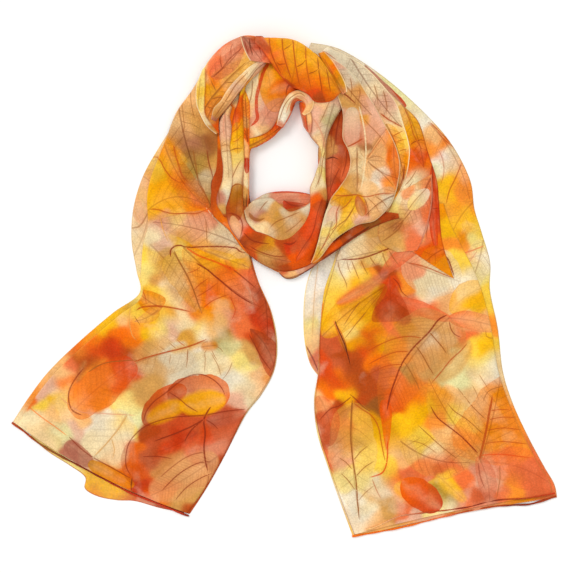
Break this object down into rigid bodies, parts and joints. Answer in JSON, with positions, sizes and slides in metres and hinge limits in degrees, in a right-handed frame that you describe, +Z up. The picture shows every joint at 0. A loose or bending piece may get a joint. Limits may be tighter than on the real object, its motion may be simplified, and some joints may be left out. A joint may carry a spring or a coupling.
{
  "type": "chiffon scarf",
  "caption": "Long sheer chiffon scarf in an autumn leaf print, laid flat in a once-round neck wrap with both ends hanging down.",
  "frame": {"origin": "centre of the laid scarf's footprint, on the table it lies on", "axes": "+Z up from the table, +Y towards the neck loop, +X towards the right end, as seen from above"},
  "size_m": [0.5622, 0.5196, 0.0315],
  "materials": {
    "leaf_print_chiffon": "sheer, matte, fine crepe weave",
    "pale_chiffon": "sheer, matte, one ply",
    "rolled_hem": "matte, tightly rolled and overlocked"
  },
  "bodies": {
    "root": {"left_underlayer": "pale_chiffon", "right_underlayer": "pale_chiffon", "left_tail": "leaf_print_chiffon", "right_tail": "leaf_print_chiffon", "left_hem": "rolled_hem", "right_hem": "rolled_hem", "loop_left": "leaf_print_chiffon", "loop_front": "leaf_print_chiffon", "loop_right": "leaf_print_chiffon", "neck_wrap": "leaf_print_chiffon", "twist_roll": "leaf_print_chiffon"}
  },
  "joints": []
}
